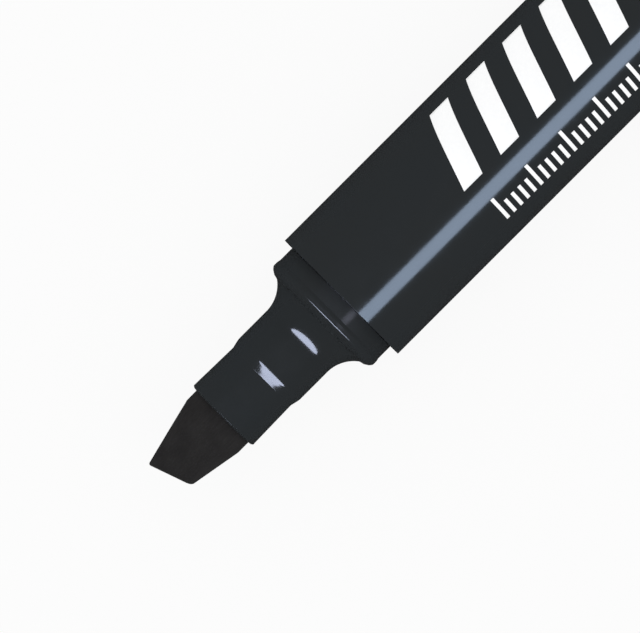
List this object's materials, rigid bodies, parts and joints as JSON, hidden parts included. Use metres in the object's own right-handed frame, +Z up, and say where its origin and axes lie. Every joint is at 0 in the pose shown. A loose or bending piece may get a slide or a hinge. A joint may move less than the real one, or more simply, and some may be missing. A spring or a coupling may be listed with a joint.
{
  "type": "chisel-tip permanent marker",
  "caption": "Thick black marker pen with a chisel nib, uncapped, lying on its side with the clip cap posted on its tail.",
  "frame": {"origin": "on the barrel's axis, in the plane of the barrel's front rim", "axes": "+X along the axis towards the nib, +Z up from the surface that the marker lies on, +Y across the nib's broad face"},
  "size_m": [0.1573, 0.0196, 0.017],
  "materials": {
    "barrel_plastic": "satin-gloss black polypropylene",
    "holder_plastic": "gloss black polypropylene",
    "nib_felt": "pressed felt soaked with black ink",
    "reservoir_fibre": "polyester fibre soaked with black ink",
    "clear_film": "clear film",
    "tube_plastic": "natural polyethylene",
    "liner_plastic": "natural polypropylene",
    "cap_plastic": "gloss black polypropylene"
  },
  "bodies": {
    "pen": {"barrel": "barrel_plastic", "nib_holder": "holder_plastic", "chisel_nib": "nib_felt", "ink_reservoir": "reservoir_fibre", "reservoir_wrap": "clear_film", "vent_tube": "tube_plastic", "tail_plug": "holder_plastic"},
    "liner": {"cap_liner": "liner_plastic"},
    "cap": {"cap_shell": "cap_plastic"},
    "clip": {"pocket_clip": "cap_plastic"}
  },
  "joints": [
    {"name": "cap_slide", "type": "slide", "parent": "pen", "child": "liner", "axis": [-1, 0, 0], "range_m": [0, 0.03]},
    {"name": "cap_turn", "type": "hinge", "parent": "liner", "child": "cap", "pos_m": [-0.1092, 0, 0], "axis": [1, 0, 0], "continuous": true},
    {"name": "clip_flex", "type": "hinge", "parent": "cap", "child": "clip", "pos_m": [-0.1243, -0.00973, -0.00632], "axis": [0, 0.5448, -0.8386], "range_deg": [0, 7], "stiffness_Nm_per_rad": 0.6}
  ]
}
